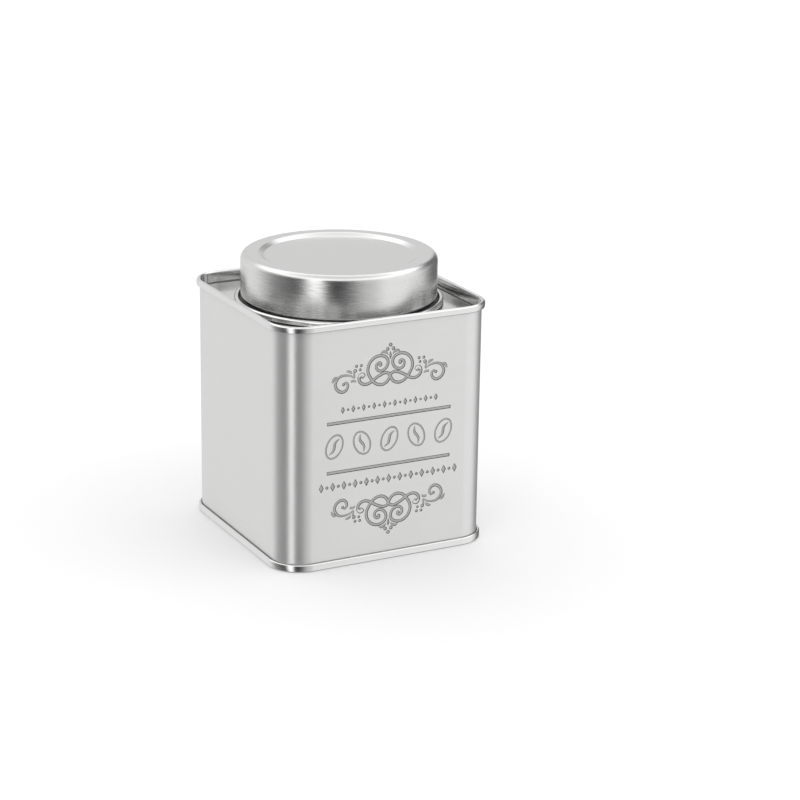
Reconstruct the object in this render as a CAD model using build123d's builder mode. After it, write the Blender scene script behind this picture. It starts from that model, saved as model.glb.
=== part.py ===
"""A square sheet-metal coffee tin with a round lid.

The body is one wrapped sheet closed by a folded lock seam at the back. A recessed top panel and a
recessed base are joined to it by double seams. A round neck is clenched into the top panel, and a
deep drawn lid with a sealing ring slips down over that neck.

Origin: centre of the base, on the surface the tin stands on. +Z is up and -Y is the front.
All sizes are in millimetres.
"""

import os
from math import asin, degrees

from build123d import *

# ---------------------------------------------------------------- driving dimensions
body_width = 100.0  # across the outside of two opposite walls
corner_radius = 13.5  # outside of the wall
rim_height = 110.0  # top of the upper double seam
gauge = 0.3  # thickness of every metal sheet
layer_gap = 0.15  # room between neighbouring layers of a double seam
top_seam_height = 3.1
base_seam_height = 3.4
top_recess = 5.4  # top panel below the upper seam
base_recess = 4.0  # middle of the base sheet above the table
neck_outer_radius = 42.7
neck_height = 20.0  # above the top panel
bead_radius = 46.3  # stop bead round the foot of the neck
bead_height = 2.6
bead_width = 2.2
lid_radius = 43.5  # outside of the skirt
lid_foot = 107.9  # lower edge of the skirt
lid_top = 126.6  # highest face of the lid
lid_shoulder = 3.0  # outside radius between skirt and top
lid_land_radius = 35.8  # where the raised land ends and the step begins
lid_floor_radius = 33.0  # where the step ends
lid_step_bend = 1.6
lid_floor_drop = 1.3
seal_thickness = 1.6
lock_seam_width = 4.0
lock_layer_gap = 0.05

# ---------------------------------------------------------------- derived places
half_gauge = gauge / 2
wall = body_width / 2 - half_gauge  # middle of the body sheet
corner_centre = body_width / 2 - corner_radius
end_hook = wall + gauge + layer_gap  # layers of a double seam, counted outwards
body_hook = end_hook + gauge + layer_gap
seam_wall = body_hook + gauge + layer_gap
chuck_wall = wall - gauge - 0.05
fold_radius = (body_hook - wall) / 2 - 0.01  # tightest fold that the hooks make
end_hook_tip = 1.10  # tips and bends of the hooks, below the edge of their seam
body_hook_bend = 0.70
body_hook_tip = 0.65  # this one is above the foot of the seam
seam_crown = 0.12  # the outer wall of a seam swells this much at half height
panel_top = rim_height - top_recess
sleeve_bottom = base_recess + 0.5
sleeve_top = panel_top - gauge - 0.4

# The plane at the +Y end of the +X wall, where every section of that wall is drawn.
wall_end = Plane.XZ.offset(-corner_centre)


def save(part, label):
    """Names a finished piece and writes its STEP file."""
    part.label = label
    export_step(part, f"parts/{label}.step")
    print(f"{label:20s} {part.volume:10.1f} mm3")


def carry_round_square(section):
    """Adds a section drawn on wall_end to the open part, carried once round the square outline."""
    side = extrude(section, amount=2 * corner_centre, mode=Mode.PRIVATE)
    axis = Axis((corner_centre, corner_centre, 0), (0, 0, 1))
    corner = revolve(section, axis=axis, revolution_arc=90, mode=Mode.PRIVATE)
    with PolarLocations(0, 4):
        add(side)
        add(corner)


def end_panel_points(edge, inward, seam_height):
    """The double-seam part of an end panel: from its hook, round the body hook, to the chuck wall."""
    return [
        (end_hook, edge + inward * end_hook_tip),
        (end_hook, edge + inward * (seam_height - half_gauge)),
        (seam_wall, edge + inward * (seam_height - half_gauge)),
        (seam_wall + seam_crown, edge + inward * seam_height / 2),
        (seam_wall, edge + inward * half_gauge),
        (chuck_wall, edge + inward * half_gauge),
    ]


def body_hook_points(edge, inward, seam_height, sleeve_end):
    """The end of the body sheet: up the wall, over, and back down as the body hook."""
    bend = edge + inward * body_hook_bend
    return [
        (wall, sleeve_end),
        (wall, bend),
        (body_hook, bend),
        (body_hook, edge + inward * (seam_height - body_hook_tip)),
    ]


os.makedirs("parts", exist_ok=True)

# ---------------------------------------------------------------- body shell
# The lock seam has four layers at the middle of the back wall, folded towards the inside.
layer_pitch = gauge + lock_layer_gap
layer_1 = wall
layer_2 = wall - layer_pitch
layer_3 = wall - 2 * layer_pitch
layer_4 = wall - 3 * layer_pitch
lock = lock_seam_width / 2
lock_fold = layer_pitch - 0.01
lock_tip = lock - 0.5  # the two hooks end short of the folds they lie in
joggle_start = lock + 1.0  # the sheet steps inwards beside the seam
joggle_end = lock + 0.35
joggle_bend = 0.4
wrap_radius = corner_radius - half_gauge
sleeve_line = [
    (-lock_tip, layer_3),
    (lock, layer_3),
    (lock, layer_1),
    (-wall, layer_1),
    (-wall, -wall),
    (wall, -wall),
    (wall, layer_1),
    (joggle_start, layer_1),
    (joggle_end, layer_4),
    (-lock, layer_4),
    (-lock, layer_2),
    (lock_tip, layer_2),
]
sleeve_folds = [lock_fold] * 2 + [wrap_radius] * 4 + [joggle_bend] * 2 + [lock_fold] * 2

with BuildSketch(wall_end) as upper_body_hook:
    with BuildLine():
        FilletPolyline(
            *body_hook_points(rim_height, -1, top_seam_height, sleeve_top), radius=fold_radius
        )
    trace(line_width=gauge)

with BuildSketch(wall_end) as lower_body_hook:
    with BuildLine():
        FilletPolyline(
            *body_hook_points(0, 1, base_seam_height, sleeve_bottom), radius=fold_radius
        )
    trace(line_width=gauge)

with BuildPart() as body_shell:
    with BuildSketch(Plane.XY.offset(sleeve_bottom)):
        with BuildLine():
            FilletPolyline(*sleeve_line, radius=sleeve_folds)
        trace(line_width=gauge)
    extrude(amount=sleeve_top - sleeve_bottom)
    carry_round_square(upper_body_hook.sketch)
    carry_round_square(lower_body_hook.sketch)
save(body_shell.part, "body_shell")

# ---------------------------------------------------------------- top panel
rim_fold = (seam_wall - chuck_wall) / 2 - 0.01  # the upper seam is fully round on top
crown_bend = 3.0
panel_bend = 0.8
hole_radius = neck_outer_radius + 0.35
plate_half = 44.0

with BuildSketch(wall_end) as top_panel_section:
    with BuildLine():
        FilletPolyline(
            *end_panel_points(rim_height, -1, top_seam_height),
            (chuck_wall, panel_top - half_gauge),
            (plate_half - 2, panel_top - half_gauge),
            radius=[fold_radius, fold_radius, crown_bend, rim_fold, rim_fold, panel_bend],
        )
    trace(line_width=gauge)

with BuildPart() as top_panel:
    carry_round_square(top_panel_section.sketch)
    with BuildSketch(Plane.XY.offset(panel_top - gauge)):
        RectangleRounded(2 * plate_half, 2 * plate_half, plate_half - corner_centre)
    extrude(amount=gauge)
    with Locations((0, 0, panel_top)):
        Hole(radius=hole_radius)
save(top_panel.part, "top_panel")

# ---------------------------------------------------------------- base panel
base_fold = 0.5  # leaves a narrow flat under the seam for the tin to stand on
step_outer = 41.6
step_inner = 40.4
step_rise = 0.8
step_bend = 0.6
base_plate_half = 39.0

with BuildSketch(wall_end) as base_panel_section:
    with BuildLine():
        FilletPolyline(
            *end_panel_points(0, 1, base_seam_height),
            (chuck_wall, base_recess),
            (step_outer, base_recess),
            (step_inner, base_recess + step_rise),
            (base_plate_half - 1.4, base_recess + step_rise),
            radius=[fold_radius, fold_radius, crown_bend, base_fold, base_fold]
            + [panel_bend, step_bend, step_bend],
        )
    trace(line_width=gauge)

with BuildPart() as base_panel:
    carry_round_square(base_panel_section.sketch)
    with BuildSketch(Plane.XY.offset(base_recess + step_rise - half_gauge)):
        RectangleRounded(
            2 * base_plate_half, 2 * base_plate_half, base_plate_half - corner_centre
        )
    extrude(amount=gauge)
save(base_panel.part, "base_panel")

# ---------------------------------------------------------------- seam compound
compound_depth = 0.44  # middle of the bead below the edge of its seam
compound_half_width = 0.2
compound_thickness = 0.18
seam_middle = (wall + body_hook) / 2

for label, edge, inward in (("top_seam_compound", rim_height, -1), ("base_seam_compound", 0, 1)):
    with BuildSketch(wall_end) as compound_section:
        with BuildLine():
            Line(
                (seam_middle - compound_half_width, edge + inward * compound_depth),
                (seam_middle + compound_half_width, edge + inward * compound_depth),
            )
        trace(line_width=compound_thickness)
    with BuildPart() as seam_compound:
        carry_round_square(compound_section.sketch)
    save(seam_compound.part, label)

# ---------------------------------------------------------------- neck ring
# One rolled strip. Its stop bead lies on the panel and its foot is clenched out underneath.
neck_line = neck_outer_radius - half_gauge
neck_curl = 0.75
neck_top = panel_top + neck_height
curl_centre = neck_top - half_gauge - neck_curl
waist = hole_radius - 0.1 - half_gauge
clench_width = 1.85
clench_z = panel_top - gauge - 0.05 - half_gauge
bead_foot_z = panel_top + 0.05 + half_gauge
bead_top_z = panel_top + bead_height - half_gauge
bead_line = bead_radius - half_gauge
bead_inner = bead_radius - bead_width + half_gauge
bead_bend = (bead_line - bead_inner) / 2 - 0.01  # the bead is fully round on top
valley_z = bead_foot_z + gauge + 0.1

with BuildPart() as neck_ring:
    with BuildSketch(Plane.XZ):
        with BuildLine():
            FilletPolyline(
                (waist + clench_width, clench_z),
                (waist, clench_z),
                (waist, bead_foot_z),
                (bead_line, bead_foot_z),
                (bead_line, bead_top_z),
                (bead_inner, bead_top_z),
                (bead_inner, valley_z),
                (neck_line, valley_z),
                (neck_line, curl_centre),
                radius=[0.2, 0.2, 0.5, bead_bend, bead_bend, 0.3, 0.3],
            )
            CenterArc((neck_line - neck_curl, curl_centre), neck_curl, 0, 270)
        trace(line_width=gauge)
    revolve(axis=Axis.Z)
save(neck_ring.part, "neck_ring")

# ---------------------------------------------------------------- lid shell
skirt_line = lid_radius - half_gauge
hem_line = skirt_line - gauge - 0.1
hem_fold = 0.19
hem_height = 2.6
lid_land_z = lid_top - half_gauge
lid_floor_z = lid_land_z - lid_floor_drop

with BuildPart() as lid_shell:
    with BuildSketch(Plane.XZ):
        with BuildLine():
            FilletPolyline(
                (hem_line, lid_foot + hem_height),
                (hem_line, lid_foot + half_gauge),
                (skirt_line, lid_foot + half_gauge),
                (skirt_line, lid_land_z),
                (lid_land_radius, lid_land_z),
                (lid_floor_radius, lid_floor_z),
                (0, lid_floor_z),
                radius=[hem_fold, hem_fold, lid_shoulder - half_gauge, lid_step_bend, lid_step_bend],
            )
        trace(line_width=gauge)
    revolve(axis=Axis.Z)
save(lid_shell.part, "lid_shell")

# ---------------------------------------------------------------- lid seal
# A soft ring bedded in the channel under the land of the lid; the curl of the neck meets it.
seal_inner_radius = lid_land_radius + 1.4
seal_top = lid_top - gauge
seal_foot = seal_top - seal_thickness
shoulder_centre = (lid_radius - lid_shoulder, lid_top - lid_shoulder)
seal_bulge = lid_shoulder - gauge - 0.1
seal_foot_angle = degrees(asin((seal_foot - shoulder_centre[1]) / seal_bulge))

with BuildPart() as lid_seal:
    with BuildSketch(Plane.XZ):
        with BuildLine():
            bulge = CenterArc(shoulder_centre, seal_bulge, seal_foot_angle, 90 - seal_foot_angle)
            Polyline(
                bulge @ 1,
                (shoulder_centre[0] - 0.1, seal_top),
                (seal_inner_radius, seal_top),
                (seal_inner_radius, seal_foot),
                bulge @ 0,
            )
        make_face()
    revolve(axis=Axis.Z)
save(lid_seal.part, "lid_seal")
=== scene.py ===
"""A square brushed-steel coffee tin with an etched front and a round slip-on lid, in a pale studio."""

from math import asin, cos, pi, radians, sin, tan

import bmesh
import bpy
from mathutils import Matrix, Vector


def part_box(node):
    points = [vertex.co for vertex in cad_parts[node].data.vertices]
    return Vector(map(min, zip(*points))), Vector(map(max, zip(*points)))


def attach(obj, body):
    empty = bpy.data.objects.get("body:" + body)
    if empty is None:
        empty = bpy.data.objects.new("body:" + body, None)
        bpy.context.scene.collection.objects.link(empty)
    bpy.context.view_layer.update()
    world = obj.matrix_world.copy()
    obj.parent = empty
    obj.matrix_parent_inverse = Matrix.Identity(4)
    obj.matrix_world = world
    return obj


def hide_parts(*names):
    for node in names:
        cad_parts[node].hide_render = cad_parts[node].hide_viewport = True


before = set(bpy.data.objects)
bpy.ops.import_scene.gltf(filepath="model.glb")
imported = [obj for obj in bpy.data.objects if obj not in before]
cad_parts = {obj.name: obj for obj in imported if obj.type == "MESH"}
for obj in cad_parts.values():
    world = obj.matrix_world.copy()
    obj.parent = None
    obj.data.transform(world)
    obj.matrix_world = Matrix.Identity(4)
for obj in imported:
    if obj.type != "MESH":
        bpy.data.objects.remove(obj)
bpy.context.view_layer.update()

# ---------------------------------------------------------------- sizes, in metres
MM = 0.001
GAUGE = 0.3 * MM
LAYER_GAP = 0.15 * MM
HALF = GAUGE / 2

sheet_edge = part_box("body_shell")[1].x
rim_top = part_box("top_panel")[1].z
lid_low, lid_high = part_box("lid_shell")
neck_low, neck_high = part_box("neck_ring")

SEAM_PITCH = GAUGE + LAYER_GAP
BODY_HOOK = sheet_edge - HALF
SEAM_WALL = BODY_HOOK + SEAM_PITCH
SEAM_CROWN = 0.12 * MM
CROWN_BEND = 3.0 * MM
END_HOOK = BODY_HOOK - SEAM_PITCH
WALL = END_HOOK - SEAM_PITCH
CHUCK_WALL = WALL - GAUGE - 0.05 * MM
WALL_FACE = WALL + HALF
CORNER_RADIUS = 13.5 * MM
CORNER_CENTRE = WALL_FACE - CORNER_RADIUS
TOP_SEAM_HEIGHT = 3.1 * MM
BASE_SEAM_HEIGHT = 3.4 * MM
TOP_RECESS = 5.4 * MM
BASE_RECESS = 4.0 * MM
PANEL_TOP = rim_top - TOP_RECESS
SLEEVE_BOTTOM = BASE_RECESS + 0.5 * MM
SLEEVE_TOP = PANEL_TOP - GAUGE - 0.4 * MM
BODY_HOOK_BEND = 0.70 * MM
BODY_HOOK_TIP = 0.65 * MM
END_HOOK_TIP = 1.10 * MM
FOLD_EASE = 0.01 * MM
TIGHT_FOLD = (BODY_HOOK - WALL) / 2 - FOLD_EASE
CORE_LAYER_GAP = 0.05 * MM
NECK_RADIUS = 42.7 * MM
HOLE_RADIUS = NECK_RADIUS + 0.35 * MM
SHOULDER = 3.0 * MM

CORNER_STEPS = 24
ROUND_STEPS = 240
FOLD_STEPS = 10

# ---------------------------------------------------------------- sheet-metal making


def folded_line(points, radii, steps=FOLD_STEPS):
    """A bent wire in a new bmesh: straight runs between the points, and a round fold at each one."""
    bm = bmesh.new()
    corners = [bm.verts.new(point) for point in points]
    for start, end in zip(corners, corners[1:]):
        bm.edges.new((start, end))
    for corner, radius in zip(corners[1:-1], radii):
        run_in, run_out = [edge.other_vert(corner).co - corner.co for edge in corner.link_edges]
        turn = pi - run_in.angle(run_out)
        bmesh.ops.bevel(bm, geom=[corner], offset=radius * tan(turn / 2), offset_type="OFFSET",
                        segments=steps, profile=0.5, affect="VERTICES", material=-1,
                        clamp_overlap=False)
    return bm


def moved_on(bm, wire, offset):
    """Extrudes a wire into a strip and returns the wire at its far side."""
    strip = bmesh.ops.extrude_edge_only(bm, edges=[e for e in wire if isinstance(e, bmesh.types.BMEdge)])
    verts = [v for v in strip["geom"] if isinstance(v, bmesh.types.BMVert)]
    edges = [e for e in strip["geom"] if isinstance(e, bmesh.types.BMEdge) and e.is_boundary
             and all(v in verts for v in e.verts)]
    bmesh.ops.translate(bm, verts=verts, vec=offset)
    return verts + edges


def round_square_strip(section, radii, steps=FOLD_STEPS):
    """A section of the +X wall, as (x, z) points, carried once round the square with its corners."""
    bm = folded_line([(x, -CORNER_CENTRE, z) for x, z in section], radii, steps)
    wire = list(bm.verts) + list(bm.edges)
    direction = Vector((0, 1, 0))
    centre = Vector((CORNER_CENTRE, CORNER_CENTRE, 0))
    for _ in range(4):
        wire = moved_on(bm, wire, direction * 2 * CORNER_CENTRE)
        wire = bmesh.ops.spin(bm, geom=wire, cent=centre, axis=(0, 0, 1), angle=pi / 2,
                              steps=CORNER_STEPS, use_duplicate=False)["geom_last"]
        direction.rotate(Matrix.Rotation(pi / 2, 3, "Z"))
        centre.rotate(Matrix.Rotation(pi / 2, 3, "Z"))
    bmesh.ops.remove_doubles(bm, verts=bm.verts, dist=0.001 * MM)
    bmesh.ops.recalc_face_normals(bm, faces=bm.faces)
    return bm


def turned(section, radii, steps=FOLD_STEPS):
    """A section of (radius, z) points turned once round the upright axis."""
    bm = folded_line([(radius, 0, z) for radius, z in section], radii, steps)
    bmesh.ops.spin(bm, geom=list(bm.verts) + list(bm.edges), cent=(0, 0, 0), axis=(0, 0, 1),
                   angle=2 * pi, steps=ROUND_STEPS, use_merge=True, use_duplicate=False)
    bmesh.ops.remove_doubles(bm, verts=bm.verts, dist=0.001 * MM)
    bmesh.ops.recalc_face_normals(bm, faces=bm.faces)
    return bm


def as_object(bm, name):
    mesh = bpy.data.meshes.new(name)
    bm.to_mesh(mesh)
    bm.free()
    piece = bpy.data.objects.new(name, mesh)
    bpy.context.scene.collection.objects.link(piece)
    return piece


def applied(piece):
    """Bakes a piece's modifiers into its mesh."""
    bpy.context.view_layer.update()
    depsgraph = bpy.context.evaluated_depsgraph_get()
    mesh = bpy.data.meshes.new_from_object(piece.evaluated_get(depsgraph))
    piece.modifiers.clear()
    piece.data = mesh
    return piece


def sheet_metal(bm, name, thickness=GAUGE):
    """Gives a strip its thickness, half to each side."""
    piece = as_object(bm, name)
    solid = piece.modifiers.new("gauge", "SOLIDIFY")
    solid.thickness = thickness
    solid.offset = 0
    solid.use_even_offset = True
    return applied(piece)


def shaded(piece, sharp=radians(28)):
    """Smooth shading that keeps flats flat and real edges crisp."""
    piece.data.shade_smooth()
    piece.data.set_sharp_from_angle(angle=sharp)
    weights = piece.modifiers.new("flats", "WEIGHTED_NORMAL")
    weights.keep_sharp = True
    weights.weight = 100
    return applied(piece)


def cut_away(piece, tool):
    cut = piece.modifiers.new("cut", "BOOLEAN")
    cut.operation = "DIFFERENCE"
    cut.solver = "EXACT"
    cut.use_self = True
    cut.object = tool
    applied(piece)
    bpy.data.objects.remove(tool)
    return piece


# ---------------------------------------------------------------- ornament, drawn on a flat sheet
# The front is drawn in millimetres: x to the right from its middle, y up from the table.
ETCH_DEPTH = 0.14
ETCH_SLOPE = 0.26
STROKE = 1.4
TOOL_TOP = 0.3
UPPER_FLOURISH = 78.4
UPPER_ROW = 71.0
UPPER_RULE = 65.6
BEAN_ROW = 55.1
LOWER_RULE = 43.4
LOWER_ROW = 37.0
LOWER_FLOURISH = 31.0
RULE_HALF_LENGTH = 29.9
RULE_HALF_WIDTH = 0.75
BEAN_SPACING = 13.2


def sweep(*knots, steps=9):
    """A smooth pen line through its knots, as points."""
    knots = [Vector(knot) for knot in knots]
    knots = [2 * knots[0] - knots[1]] + knots + [2 * knots[-1] - knots[-2]]
    line = [knots[1]]
    for before, start, end, after in zip(knots, knots[1:], knots[2:], knots[3:]):
        for i in range(1, steps + 1):
            t = i / steps
            s = 1 - t
            lead_in = start + (end - before) / 6
            lead_out = end - (after - start) / 6
            line.append(s ** 3 * start + 3 * t * s * s * lead_in
                        + 3 * t * t * s * lead_out + t ** 3 * end)
    return line


def flourish():
    """Right half of the flourish: strokes as (points, start, middle and end width), and dots."""
    heart = sweep((4.5, 10.5), (4.6, 11.3), (5.6, 11.6), (6.7, 10.5), (6.3, 8.6), (4.4, 7.8),
                  (2.1, 8.9), (1.1, 11.1), (1.5, 12.9), (2.8, 14.1), (5.0, 14.7), (7.6, 14.1),
                  (9.7, 12.3), (10.7, 9.7), (10.5, 7.4), (9.4, 5.3), (7.9, 3.3), (6.1, 2.1),
                  (3.8, 1.7), (1.6, 2.6), (0.5, 4.1), (0, 5.3))
    arm = sweep((0, 5.3), (0.9, 6.4), (2.4, 6.75), (4.4, 6.2), (6.8, 5.0), (8.7, 3.7), (10.9, 2.8),
                (13.0, 3.0), (14.5, 4.2), (14.9, 5.9), (14.1, 7.3), (12.9, 7.2), (12.7, 6.3))
    scroll = sweep((17.0, 6.1), (18.9, 7.4), (21.9, 8.0), (24.5, 7.3), (26.1, 4.8), (25.6, 2.5),
                   (23.9, 1.0), (22.0, 0.8), (20.6, 1.9), (20.2, 3.5), (21.1, 4.7), (22.2, 4.2))
    strokes = [
        (heart, 1.1, STROKE, STROKE),
        (arm, STROKE, STROKE, 1.7),
        (scroll, 0.5, STROKE, 0.8),
        (sweep((25.3, 7.8), (26.7, 7.0), (27.7, 5.3)), 0.3, 1.2, 0.6),
        (sweep((16.8, 6.5), (17.3, 7.9), (17.0, 9.2)), 0.4, 0.8, 0.9),
        (sweep((18.2, 8.3), (19.3, 9.3), (20.9, 9.8)), 0.4, 1.1, 0.6),
        (sweep((16.3, 4.2), (17.2, 5.0), (18.8, 4.9)), 0.3, 0.9, 1.0),
        (sweep((1.1, 14.7), (2.1, 15.8), (3.5, 16.2), (4.7, 15.5)), 0.4, 1.2, 0.4),
    ]
    dots = [(Vector(centre), radius) for centre, radius in (
        ((4.75, 10.6), 0.85), ((13.3, 6.7), 1.1), ((22.2, 4.1), 0.7), ((16.8, 9.4), 0.85),
        ((14.4, 9.6), 0.62), ((13.9, 11.4), 0.68), ((16.2, 11.4), 0.68), ((1.4, 17.2), 0.85))]
    return strokes, dots


def pen_tip():
    """The groove's section, as wide as the main stroke: a flat floor between two sloping sides."""
    tip = bpy.data.curves.new("pen_tip", "CURVE")
    tip.dimensions = "2D"
    edge = STROKE / 2
    floor = edge - ETCH_SLOPE
    outline = [(-edge, TOOL_TOP), (-edge, 0), (-floor, -ETCH_DEPTH), (floor, -ETCH_DEPTH), (edge, 0),
               (edge, TOOL_TOP)]
    spline = tip.splines.new("POLY")
    spline.points.add(len(outline) - 1)
    for point, (x, y) in zip(spline.points, outline):
        point.co = (x, y, 0, 1)
    spline.use_cyclic_u = True
    pen = bpy.data.objects.new("pen_tip", tip)
    bpy.context.scene.collection.objects.link(pen)
    return pen


def drawn(strokes):
    """Cutting tools for pen strokes, each (points, start, middle and end width), as one bmesh."""
    pen = pen_tip()
    line = bpy.data.curves.new("strokes", "CURVE")
    line.dimensions = "2D"
    line.fill_mode = "NONE"
    line.bevel_mode = "OBJECT"
    line.bevel_object = pen
    line.use_fill_caps = True
    for points, start, middle, end in strokes:
        spline = line.splines.new("POLY")
        closed = (points[0] - points[-1]).length < 0.001
        path = points[:-1] if closed else points
        spline.points.add(len(path) - 1)
        spline.use_cyclic_u = closed
        for i, (knot, place) in enumerate(zip(spline.points, path)):
            t = i / (len(path) - 1)
            tip = start if t < 0.5 else end
            knot.co = (place.x, place.y, 0, 1)
            knot.radius = (tip + (middle - tip) * sin(pi * t)) / STROKE
    lines = bpy.data.objects.new("strokes", line)
    bpy.context.scene.collection.objects.link(lines)
    bpy.context.view_layer.update()
    mesh = bpy.data.meshes.new_from_object(lines.evaluated_get(bpy.context.evaluated_depsgraph_get()))
    bm = bmesh.new()
    bm.from_mesh(mesh)
    bmesh.ops.remove_doubles(bm, verts=bm.verts, dist=0.0005)
    bpy.data.objects.remove(lines)
    bpy.data.objects.remove(pen)
    return bm


def sunk_shape(bm, outline):
    """Adds a shallow pan: the outline at the surface, a smaller floor below it, and a lid above."""
    face = bm.faces.new([bm.verts.new((p.x, p.y, 0)) for p in outline])
    above = bmesh.ops.extrude_face_region(bm, geom=[face], use_keep_orig=True)
    bmesh.ops.translate(bm, verts=[v for v in above["geom"] if isinstance(v, bmesh.types.BMVert)],
                        vec=(0, 0, TOOL_TOP))
    bmesh.ops.inset_region(bm, faces=[face], thickness=ETCH_SLOPE, depth=0, use_even_offset=True)
    bmesh.ops.translate(bm, verts=face.verts, vec=(0, 0, -ETCH_DEPTH))


def ring_of(centre, radius, count, stretch=1.0):
    """Points on a circle or, stretched upright, on an ellipse."""
    angles = [2 * pi * i / count for i in range(count)]
    return [Vector(centre) + Vector((radius * cos(a), radius * stretch * sin(a))) for a in angles]


def bean(centre, tilt):
    """Strokes of one coffee bean: its outline and its curved crease."""
    width, height = 3.7, 5.4
    outline = ring_of((0, 0), width, 40, height / width)
    outline.append(outline[0].copy())
    crease = sweep((0.9, height - 1.3), (-0.3, 1.7), (0.3, -1.7), (-0.9, 1.3 - height))
    turn = Matrix.Rotation(radians(tilt), 2)
    placed = [[turn @ point + Vector(centre) for point in run] for run in (outline, crease)]
    return [(placed[0], 0.75, 0.75, 0.75), (placed[1], 0.3, 1.25, 0.3)]


def ornament_tools():
    """Every cutting tool for the front, in one bmesh, in the drawing's millimetres."""
    half_strokes, half_dots = flourish()
    strokes = []
    dots = [(Vector((0, 19.0)), 0.85)]
    diamonds = [((0, 14.3), 1.3, 3.8)]
    for side in (1, -1):
        strokes += [([Vector((side * p.x, p.y)) for p in run], a, b, c) for run, a, b, c in half_strokes]
        dots += [(Vector((side * centre.x, centre.y)), radius) for centre, radius in half_dots]
    placed = []
    bm = bmesh.new()
    for foot, flip in ((UPPER_FLOURISH, 1), (LOWER_FLOURISH, -1)):
        placed += [([Vector((p.x, foot + flip * p.y)) for p in run], a, b, c) for run, a, b, c in strokes]
        for centre, radius in dots:
            sunk_shape(bm, ring_of((centre.x, foot + flip * centre.y), radius, 20))
        for (x, y), width, height in diamonds:
            sunk_shape(bm, ring_of((x, foot + flip * y), width / 2, 4, height / width))
    for i in range(-2, 3):
        placed += bean((i * BEAN_SPACING, BEAN_ROW), 24 if i % 2 else -24)
    for y in (UPPER_RULE, LOWER_RULE):
        sunk_shape(bm, [Vector((x * RULE_HALF_LENGTH, y + side * RULE_HALF_WIDTH))
                        for x, side in ((1, 1), (-1, 1), (-1, -1), (1, -1))])
    for y, reach, count, size in ((UPPER_ROW, 22.5, 19, 0.85), (LOWER_ROW, 32.5, 25, 1.05)):
        for i in range(count):
            x = reach * (2 * i / (count - 1) - 1)
            if i % 2:
                sunk_shape(bm, ring_of((x, y), 0.66 * size, 16))
            else:
                sunk_shape(bm, ring_of((x, y), 1.1 * size, 4, 1.75))
    pen_work = drawn(placed)
    both = bpy.data.meshes.new("tools")
    pen_work.to_mesh(both)
    pen_work.free()
    bm.from_mesh(both)
    bmesh.ops.recalc_face_normals(bm, faces=bm.faces)
    return bm


# ---------------------------------------------------------------- pieces


def sleeve():
    """The wrapped sheet, closed by a lock seam of four layers at the middle of the back wall."""
    pitch = GAUGE + CORE_LAYER_GAP
    layers = [WALL - i * pitch for i in range(4)]
    lock = 2.0 * MM
    short = lock - 0.5 * MM
    joggle_start, joggle_end, joggle_bend = lock + 1.0 * MM, lock + 0.35 * MM, 0.4 * MM
    fold = pitch - FOLD_EASE
    line = [(-short, layers[2]), (lock, layers[2]), (lock, layers[0]), (-WALL, layers[0]), (-WALL, -WALL),
            (WALL, -WALL), (WALL, layers[0]), (joggle_start, layers[0]), (joggle_end, layers[3]),
            (-lock, layers[3]), (-lock, layers[1]), (short, layers[1])]
    wrap = CORNER_RADIUS - HALF
    radii = [fold] * 2 + [wrap] * 4 + [joggle_bend] * 2 + [fold] * 2
    bm = folded_line([(x, y, SLEEVE_BOTTOM) for x, y in line], radii, CORNER_STEPS)
    moved_on(bm, list(bm.verts) + list(bm.edges), (0, 0, SLEEVE_TOP - SLEEVE_BOTTOM))
    bmesh.ops.recalc_face_normals(bm, faces=bm.faces)
    return sheet_metal(bm, "body_sheet")


def hooked(shell):
    """Adds the hook rolled outwards at each end of the sleeve."""
    bm = bmesh.new()
    bm.from_mesh(shell.data)
    for edge, inward, height, end in ((rim_top, -1, TOP_SEAM_HEIGHT, SLEEVE_TOP),
                                      (0, 1, BASE_SEAM_HEIGHT, SLEEVE_BOTTOM)):
        bend = edge + inward * BODY_HOOK_BEND
        tip = edge + inward * (height - BODY_HOOK_TIP)
        hook = sheet_metal(round_square_strip(
            [(WALL, end), (WALL, bend), (BODY_HOOK, bend), (BODY_HOOK, tip)], [TIGHT_FOLD] * 2), "hook")
        bm.from_mesh(hook.data)
        bpy.data.objects.remove(hook)
    bm.to_mesh(shell.data)
    bm.free()
    return shell


def etched(shell):
    """Sinks the ornament into the front wall; the cut floors take the second material, and the cut sides
    take the third, a painted shade.
    """
    tools = as_object(ornament_tools(), "tools")
    tools.data.transform(Matrix.Translation((0, -WALL_FACE, 0)) @ Matrix.Rotation(pi / 2, 4, "X")
                         @ Matrix.Scale(MM, 4))
    cut_away(shell, tools)
    clear_of_wall = -WALL_FACE + 0.02 * MM
    deepest = -WALL_FACE + ETCH_DEPTH * MM + 0.01 * MM
    for face in shell.data.polygons:
        depth = face.center.y
        if abs(face.center.x) > CORNER_CENTRE or not -WALL_FACE < depth < deepest:
            continue
        leans = abs(face.normal.x) + abs(face.normal.z) > 0.1
        if depth > clear_of_wall or leans:
            # groove floors get the etched grey; groove sides get near black as painted shade
            face.material_index = 1 if face.normal.y < -0.98 else 2
    return shell


def spread(point):
    """How far a point is from the upright axis, measured across the round square."""
    outside = Vector((max(abs(point.x) - CORNER_CENTRE, 0), max(abs(point.y) - CORNER_CENTRE, 0)))
    return CORNER_CENTRE + outside.length


def end_line(edge, inward, height):
    """The seamed part of an end panel: its hook, round the body hook, over, and down the chuck wall."""
    tip = edge + inward * END_HOOK_TIP
    under = edge + inward * (height - HALF)
    middle = edge + inward * height / 2
    over = edge + inward * HALF
    return [(END_HOOK, tip), (END_HOOK, under), (SEAM_WALL, under), (SEAM_WALL + SEAM_CROWN, middle),
            (SEAM_WALL, over), (CHUCK_WALL, over)]


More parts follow.
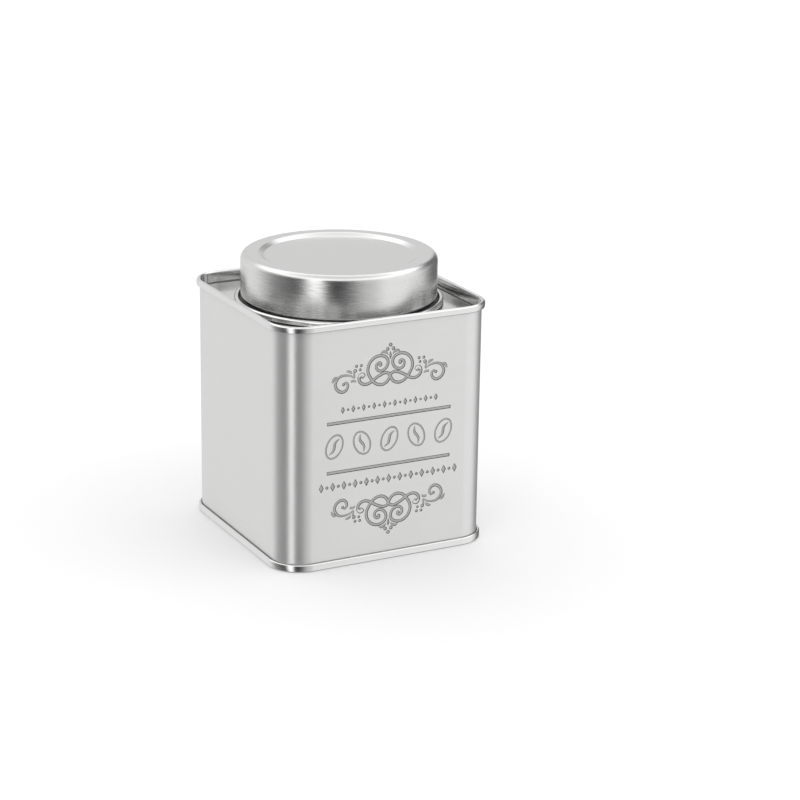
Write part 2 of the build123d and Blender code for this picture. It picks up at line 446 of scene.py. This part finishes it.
def top_panel():
    """The recessed top with its half of the seam, and a round hole for the neck."""
    rim_fold = (SEAM_WALL - CHUCK_WALL) / 2 - FOLD_EASE
    foot_bend = 0.8 * MM
    z = PANEL_TOP - HALF
    bm = round_square_strip(end_line(rim_top, -1, TOP_SEAM_HEIGHT)
                            + [(CHUCK_WALL, z), (CHUCK_WALL - 1.5 * foot_bend, z)],
                            [TIGHT_FOLD, TIGHT_FOLD, CROWN_BEND, rim_fold, rim_fold, foot_bend])
    inner = [e for e in bm.edges if e.is_boundary and e.verts[0].co.z < z + 0.01 * MM]
    hole = bmesh.ops.create_circle(bm, cap_ends=False, segments=ROUND_STEPS, radius=HOLE_RADIUS,
                                   matrix=Matrix.Translation((0, 0, z)))
    hole_edges = list({e for v in hole["verts"] for e in v.link_edges})
    bmesh.ops.triangle_fill(bm, edges=inner + hole_edges, use_beauty=True, normal=(0, 0, 1))
    bmesh.ops.recalc_face_normals(bm, faces=bm.faces)
    sheet = sheet_metal(bm, "top_sheet")
    # painted shade: a dark line painted in the bend at the foot of the chuck wall
    for face in sheet.data.polygons:
        if 0.3 < face.normal.z < 0.97 and PANEL_TOP < face.center.z < PANEL_TOP + 0.5 * MM:
            face.material_index = 1
    return sheet


def base_panel():
    """The countersunk base with its half of the seam and a shallow stiffening step."""
    z = BASE_RECESS
    raised = z + 0.8 * MM
    step_foot, step_top, middle = 41.6 * MM, 40.4 * MM, 38.6 * MM
    rim_bend, foot_bend, step_bend = 0.5 * MM, 0.8 * MM, 0.6 * MM
    bm = round_square_strip(end_line(0, 1, BASE_SEAM_HEIGHT)
                            + [(CHUCK_WALL, z), (step_foot, z), (step_top, raised), (middle, raised)],
                            [TIGHT_FOLD, TIGHT_FOLD, CROWN_BEND, rim_bend, rim_bend, foot_bend,
                             step_bend, step_bend])
    inner = [e for e in bm.edges if e.is_boundary and abs(e.verts[0].co.z - raised) < 0.01 * MM]
    bmesh.ops.contextual_create(bm, geom=inner)
    bmesh.ops.recalc_face_normals(bm, faces=bm.faces)
    sheet = sheet_metal(bm, "base_sheet")
    # painted shade: a dark line painted where the seam closes against the wall
    for face in sheet.data.polygons:
        near_wall = WALL_FACE < spread(face.center) < END_HOOK + 0.12 * MM
        if near_wall and face.center.z > BASE_SEAM_HEIGHT - 1.2 * MM:
            face.material_index = 1
    return sheet


def neck_ring():
    """One rolled strip: clenched foot, stop bead, neck, and a curled top."""
    neck = NECK_RADIUS - HALF
    curl = 0.75 * MM
    top = neck_high.z - HALF
    waist = HOLE_RADIUS - 0.1 * MM - HALF
    bead = neck_high.x - HALF
    bead_inner = bead - 1.9 * MM
    bead_bend = (bead - bead_inner) / 2 - FOLD_EASE
    bead_foot = PANEL_TOP + 0.05 * MM + HALF
    bead_top = PANEL_TOP + 2.6 * MM - HALF
    valley = bead_foot + GAUGE + 0.1 * MM
    clench = neck_low.z + HALF
    clench_bend, foot_bend, valley_bend = 0.2 * MM, 0.5 * MM, 0.3 * MM
    bm = turned([(waist + 1.85 * MM, clench), (waist, clench), (waist, bead_foot), (bead, bead_foot),
                 (bead, bead_top), (bead_inner, bead_top), (bead_inner, valley), (neck, valley), (neck, top),
                 (neck - 2 * curl, top), (neck - 2 * curl, top - 2 * curl), (neck - curl, top - 2 * curl)],
                [clench_bend, clench_bend, foot_bend, bead_bend, bead_bend, valley_bend, valley_bend,
                 curl, curl, curl - FOLD_EASE])
    strip = sheet_metal(bm, "neck_strip")
    # painted shade: the narrow valley between the bead and the neck, and the foot of the bead, are painted
    # dark
    for face in strip.data.polygons:
        reach = Vector(face.center[:2]).length
        height = face.center.z
        in_valley = (neck + 0.1 * MM < reach < bead_inner + 0.3 * MM
                     and valley < height < lid_low.z + 1.0 * MM)
        if in_valley or (reach > bead_inner and height < PANEL_TOP + 0.5 * MM):
            face.material_index = 1
    return strip


def lid_shell():
    """The drawn lid: hemmed skirt, rounded shoulder, land, and a sunk round middle."""
    skirt = lid_high.x - HALF
    hem = skirt - GAUGE - 0.1 * MM
    hem_height, hem_bend = 2.6 * MM, 0.19 * MM
    foot = lid_low.z + HALF
    land = lid_high.z - HALF
    step_rim, step_foot, step_bend = 35.8 * MM, 33.0 * MM, 1.6 * MM
    middle = land - 1.3 * MM
    bm = turned([(hem, foot + hem_height - HALF), (hem, foot), (skirt, foot), (skirt, land),
                 (step_rim, land), (step_foot, middle), (0, middle)],
                [hem_bend, hem_bend, SHOULDER - HALF, step_bend, step_bend])
    sheet = sheet_metal(bm, "lid_sheet")
    # the flat top is spun to a satin finish; only the skirt and the shoulder are brushed
    for face in sheet.data.polygons:
        if Vector(face.center[:2]).length < lid_high.x - SHOULDER:
            face.material_index = 1
    return sheet


def lid_seal():
    """The soft ring in the channel under the land, its outer side rounded to fit the shoulder."""
    low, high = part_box("lid_seal")
    inner = 37.2 * MM
    shoulder = Vector((lid_high.x - SHOULDER, lid_high.z - SHOULDER))
    bulge = 2.6 * MM
    first = asin((low.z - shoulder.y) / bulge)
    section = [(inner, low.z)]
    for i in range(FOLD_STEPS + 1):
        angle = first + (pi / 2 - first) * i / FOLD_STEPS
        section.append((shoulder.x + bulge * cos(angle), shoulder.y + bulge * sin(angle)))
    section += [(shoulder.x - 0.1 * MM, high.z), (inner, high.z)]
    bm = bmesh.new()
    ring = [bm.verts.new((x, 0, z)) for x, z in section]
    for start, end in zip(ring, ring[1:] + ring[:1]):
        bm.edges.new((start, end))
    bmesh.ops.spin(bm, geom=list(bm.verts) + list(bm.edges), cent=(0, 0, 0), axis=(0, 0, 1),
                   angle=2 * pi, steps=ROUND_STEPS, use_merge=True, use_duplicate=False)
    bmesh.ops.recalc_face_normals(bm, faces=bm.faces)
    return as_object(bm, "seal_ring")


# ---------------------------------------------------------------- materials


def brushed(name, colour, roughness, grain, aniso=0.75, wander=0.05, metallic=1.0):
    """Brushed steel with level grain: streaks in tone, gloss and relief, and soft clouding."""
    material = bpy.data.materials.new(name)
    material.use_nodes = True
    nodes = material.node_tree.nodes
    links = material.node_tree.links
    nodes.clear()

    def node(kind, **settings):
        made = nodes.new(kind)
        for key, value in settings.items():
            setattr(made, key, value)
        return made

    place = node("ShaderNodeTexCoord")

    def streaks(scale, detail):
        mapping = node("ShaderNodeMapping")
        mapping.inputs["Scale"].default_value = scale
        links.new(place.outputs["Object"], mapping.inputs["Vector"])
        noise = node("ShaderNodeTexNoise")
        noise.inputs["Scale"].default_value = 1.0
        noise.inputs["Detail"].default_value = detail
        noise.inputs["Roughness"].default_value = 0.6
        links.new(mapping.outputs["Vector"], noise.inputs["Vector"])
        return noise.outputs["Fac"]

    fine = streaks((26, 26, 2600), 6)
    broad = streaks((9, 9, 420), 3)
    clouds = streaks((34, 34, 34), 4)

    def ranged(value, low, high, start=0.3, end=0.7):
        remap = node("ShaderNodeMapRange")
        remap.inputs["From Min"].default_value = start
        remap.inputs["From Max"].default_value = end
        remap.inputs["To Min"].default_value = low
        remap.inputs["To Max"].default_value = high
        links.new(value, remap.inputs["Value"])
        return remap.outputs["Result"]

    def added(a, b, operation="ADD"):
        math = node("ShaderNodeMath", operation=operation)
        for socket, value in zip(math.inputs, (a, b)):
            if isinstance(value, (int, float)):
                socket.default_value = value
            else:
                links.new(value, socket)
        return math.outputs[0]

    shader = node("ShaderNodeBsdfPrincipled")
    shader.inputs["Metallic"].default_value = metallic
    shader.inputs["Anisotropic"].default_value = aniso
    shader.inputs["Anisotropic Rotation"].default_value = 0.25
    rough = added(ranged(fine, -0.05 * grain, 0.05 * grain), ranged(clouds, -0.03, 0.03))
    links.new(added(rough, roughness), shader.inputs["Roughness"])

    tone = node("ShaderNodeMix", data_type="RGBA")
    tone.inputs["A"].default_value = [c * (1 - 0.10 * grain) for c in colour] + [1]
    tone.inputs["B"].default_value = [min(1, c * (1 + 0.05 * grain)) for c in colour] + [1]
    links.new(added(added(fine, 0.6, "MULTIPLY"), added(broad, 0.4, "MULTIPLY")), tone.inputs["Factor"])
    links.new(tone.outputs["Result"], shader.inputs["Base Color"])

    bump = node("ShaderNodeBump")
    bump.inputs["Strength"].default_value = 0.35 * grain
    bump.inputs["Distance"].default_value = 0.00004
    links.new(fine, bump.inputs["Height"])

    # each row of the grain leans a little to one side or the other, which frays upright reflections
    geometry = node("ShaderNodeNewGeometry")
    level = node("ShaderNodeVectorMath", operation="CROSS_PRODUCT")
    level.inputs[0].default_value = (0, 0, 1)
    links.new(geometry.outputs["Normal"], level.inputs[1])
    rows = streaks((160, 160, 3800), 3)
    lean = node("ShaderNodeVectorMath", operation="SCALE")
    links.new(level.outputs["Vector"], lean.inputs["Vector"])
    links.new(ranged(rows, -wander, wander, 0.25, 0.75), lean.inputs["Scale"])
    leaning = node("ShaderNodeVectorMath", operation="ADD")
    links.new(bump.outputs["Normal"], leaning.inputs[0])
    links.new(lean.outputs["Vector"], leaning.inputs[1])
    unit = node("ShaderNodeVectorMath", operation="NORMALIZE")
    links.new(leaning.outputs["Vector"], unit.inputs[0])
    links.new(unit.outputs["Vector"], shader.inputs["Normal"])

    grain_way = node("ShaderNodeTangent", direction_type="RADIAL", axis="Z")
    links.new(grain_way.outputs["Tangent"], shader.inputs["Tangent"])
    out = node("ShaderNodeOutputMaterial")
    links.new(shader.outputs["BSDF"], out.inputs["Surface"])
    return material


def plain_finish(name, colour, roughness, metallic, speckle):
    """An even finish with a fine speckle in tone, gloss and relief."""
    material = bpy.data.materials.new(name)
    material.use_nodes = True
    nodes = material.node_tree.nodes
    links = material.node_tree.links
    shader = nodes["Principled BSDF"]
    shader.inputs["Metallic"].default_value = metallic
    place = nodes.new("ShaderNodeTexCoord")
    noise = nodes.new("ShaderNodeTexNoise")
    noise.inputs["Scale"].default_value = 2400
    noise.inputs["Detail"].default_value = 4
    links.new(place.outputs["Object"], noise.inputs["Vector"])
    tone = nodes.new("ShaderNodeMix")
    tone.data_type = "RGBA"
    tone.inputs["A"].default_value = [c * (1 - speckle) for c in colour] + [1]
    tone.inputs["B"].default_value = [min(1, c * (1 + speckle)) for c in colour] + [1]
    links.new(noise.outputs["Fac"], tone.inputs["Factor"])
    links.new(tone.outputs["Result"], shader.inputs["Base Color"])
    gloss = nodes.new("ShaderNodeMapRange")
    gloss.inputs["To Min"].default_value = roughness - 0.08
    gloss.inputs["To Max"].default_value = roughness + 0.08
    links.new(noise.outputs["Fac"], gloss.inputs["Value"])
    links.new(gloss.outputs["Result"], shader.inputs["Roughness"])
    bump = nodes.new("ShaderNodeBump")
    bump.inputs["Strength"].default_value = 0.3
    bump.inputs["Distance"].default_value = 0.00003
    links.new(noise.outputs["Fac"], bump.inputs["Height"])
    links.new(bump.outputs["Normal"], shader.inputs["Normal"])
    return material


STEEL = (0.74, 0.74, 0.735)
wall_steel = brushed("brushed_wall", STEEL, 0.33, 0.5, aniso=0.5, wander=0.02, metallic=0.75)
lid_steel = brushed("brushed_lid", STEEL, 0.26, 0.8, aniso=0.75, wander=0.045)
lid_face_steel = plain_finish("satin_lid_face", STEEL, 0.24, 1.0, 0.03)
# near-black colour laid into crevices, seam lines and valleys: painted shade
crevice_painted_shade = plain_finish("crevice_painted_shade", (0.11, 0.11, 0.11), 0.6, 0.7, 0.3)
panel_steel = brushed("drawn_panel", (0.76, 0.76, 0.755), 0.17, 0.3, aniso=0.3, wander=0.01)
etch_floor = plain_finish("etched_floor", (0.54, 0.54, 0.53), 0.5, 1.0, 0.12)
# near black on the sloping sides of the etched grooves: painted shade that draws their dark outlines
etch_wall_shade = plain_finish("etched_side_painted_shade", (0.04, 0.04, 0.04), 0.6, 0.9, 0.15)
seal_rubber = plain_finish("seal_rubber", (0.55, 0.52, 0.44), 0.6, 0.0, 0.08)
compound_rubber = plain_finish("seam_compound", (0.10, 0.09, 0.08), 0.7, 0.0, 0.1)


def fitted(piece, name, body, node, slot, *materials):
    """Names a finished piece, gives it its materials, and puts it in place of its CAD node."""
    piece.name = name
    piece.data.name = name
    for material in materials:
        piece.data.materials.append(material)
    shaded(piece)
    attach(piece, body)
    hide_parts(node)


fitted(hooked(etched(sleeve())), "tin_body", "tin", "body_shell", "body_steel",
       wall_steel, etch_floor, etch_wall_shade)
fitted(top_panel(), "tin_top", "tin", "top_panel", "panel_steel", panel_steel, crevice_painted_shade)
fitted(base_panel(), "tin_base", "tin", "base_panel", "panel_steel", panel_steel, crevice_painted_shade)
fitted(neck_ring(), "tin_neck", "tin", "neck_ring", "neck_steel", panel_steel, crevice_painted_shade)
fitted(lid_shell(), "lid", "lid", "lid_shell", "lid_steel", lid_steel, lid_face_steel)
fitted(lid_seal(), "lid_sealing_ring", "lid", "lid_seal", "seal_rubber", seal_rubber)
for hidden in ("top_seam_compound", "base_seam_compound"):
    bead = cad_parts[hidden]
    bead.data.materials.clear()
    bead.data.materials.append(compound_rubber)

# ---------------------------------------------------------------- studio
# brightness of the room above, overhead and below, and the heights over which each takes over,
# as the upright part of the sight line
CEILING_TONE, CEILING_AT = 1.72, (0.50, 0.64)
ZENITH_TONE, ZENITH_AT = 0.85, (0.7, 0.95)
GROUND_TONE, GROUND_AT = 0.42, (-0.5, -0.8)


def pale_floor():
    bm = bmesh.new()
    bmesh.ops.create_circle(bm, cap_ends=True, segments=96, radius=4.0)
    floor = as_object(bm, "floor")
    paper = bpy.data.materials.new("paper")
    paper.use_nodes = True
    paper.node_tree.nodes["Principled BSDF"].inputs["Base Color"].default_value = (0.97, 0.97, 0.97, 1)
    paper.node_tree.nodes["Principled BSDF"].inputs["Roughness"].default_value = 0.9
    floor.data.materials.append(paper)
    floor.visible_glossy = False


def studio_light():
    """A white room with tall dark flags on both sides of a narrow lit strip, as the tin sees it."""
    world = bpy.data.worlds.new("studio")
    bpy.context.scene.world = world
    world.use_nodes = True
    nodes = world.node_tree.nodes
    links = world.node_tree.links
    nodes.clear()
    place = nodes.new("ShaderNodeTexCoord")
    split = nodes.new("ShaderNodeSeparateXYZ")
    links.new(place.outputs["Generated"], split.inputs["Vector"])
    around = nodes.new("ShaderNodeMath")
    around.operation = "ARCTAN2"
    links.new(split.outputs["Y"], around.inputs[0])
    links.new(split.outputs["X"], around.inputs[1])
    turn = nodes.new("ShaderNodeMapRange")
    turn.inputs["From Min"].default_value = -pi
    turn.inputs["From Max"].default_value = pi
    links.new(around.outputs[0], turn.inputs["Value"])
    bands = nodes.new("ShaderNodeValToRGB")
    bands.color_ramp.interpolation = "LINEAR"
    links.new(turn.outputs["Result"], bands.inputs["Fac"])
    # bearing of the light in degrees, anticlockwise from +X, and its brightness
    tones = [(-180, 0.17), (-166, 0.1), (-160, 0.2), (-153, 0.8), (-148, 1.5), (-138, 1.4),
             (-130, 0.12), (-118, 0.05), (-108, 0.14), (-99, 0.32), (-90, 0.58), (-80, 0.7),
             (-70, 0.82), (-62, 1.04), (-48, 1.05), (-22, 1.05), (-8, 0.9), (8, 0.4), (20, 0.2),
             (44, 0.14), (54, 0.74), (80, 0.76), (105, 0.88), (118, 0.95), (134, 0.89),
             (148, 0.62), (160, 0.32), (180, 0.17)]
    ramp = bands.color_ramp.elements
    ramp[0].position = 0
    ramp[1].position = 1
    for bearing, tone in tones[1:-1]:
        ramp.new((bearing + 180) / 360)
    for element, (bearing, tone) in zip(ramp, tones):
        element.color = (tone, tone, tone, 1)

    def mixed(base, factor, tone):
        mix = nodes.new("ShaderNodeMix")
        mix.data_type = "RGBA"
        mix.inputs["B"].default_value = (tone, tone, tone, 1)
        links.new(factor, mix.inputs["Factor"])
        links.new(base, mix.inputs["A"])
        return mix.outputs["Result"]

    def at_height(start, end):
        """From 0 to 1 as the sight line climbs, or drops, from start to end."""
        climb = nodes.new("ShaderNodeMapRange")
        climb.inputs["From Min"].default_value = start
        climb.inputs["From Max"].default_value = end
        links.new(split.outputs["Z"], climb.inputs["Value"])
        return climb.outputs["Result"]

    room = mixed(bands.outputs["Color"], at_height(CEILING_AT[0], CEILING_AT[1]), CEILING_TONE)
    room = mixed(room, at_height(ZENITH_AT[0], ZENITH_AT[1]), ZENITH_TONE)
    room = mixed(room, at_height(GROUND_AT[0], GROUND_AT[1]), GROUND_TONE)
    # straight behind the tin the room is plain white
    rays = nodes.new("ShaderNodeLightPath")
    seen = mixed(room, rays.outputs["Is Camera Ray"], 1)
    light = nodes.new("ShaderNodeBackground")
    links.new(seen, light.inputs["Color"])
    out = nodes.new("ShaderNodeOutputWorld")
    links.new(light.outputs["Background"], out.inputs["Surface"])


def camera():
    """Stands a metre away, to the left of the front, looking a little down."""
    azimuth, height, roll = radians(-27.9), radians(17.88), radians(0.9)
    distance = 1.0662
    middle, aside, below = 0.060, 0.02776, 0.00153
    back = Vector((sin(azimuth) * cos(height), -cos(azimuth) * cos(height), sin(height)))
    right = Vector((cos(azimuth), sin(azimuth), 0))
    up = back.cross(right)
    aim = Vector((0, 0, middle)) + aside * right - below * up
    lens = bpy.data.cameras.new("camera")
    lens.sensor_width = 36
    lens.lens = 106.95
    lens.clip_end = 20
    view = bpy.data.objects.new("camera", lens)
    view.matrix_world = (Matrix.Translation(aim + distance * back)
                         @ Matrix((right, up, back)).transposed().to_4x4() @ Matrix.Rotation(roll, 4, "Z"))
    bpy.context.scene.collection.objects.link(view)
    bpy.context.scene.camera = view


pale_floor()
studio_light()
camera()
bpy.context.scene.view_settings.view_transform = "Standard"
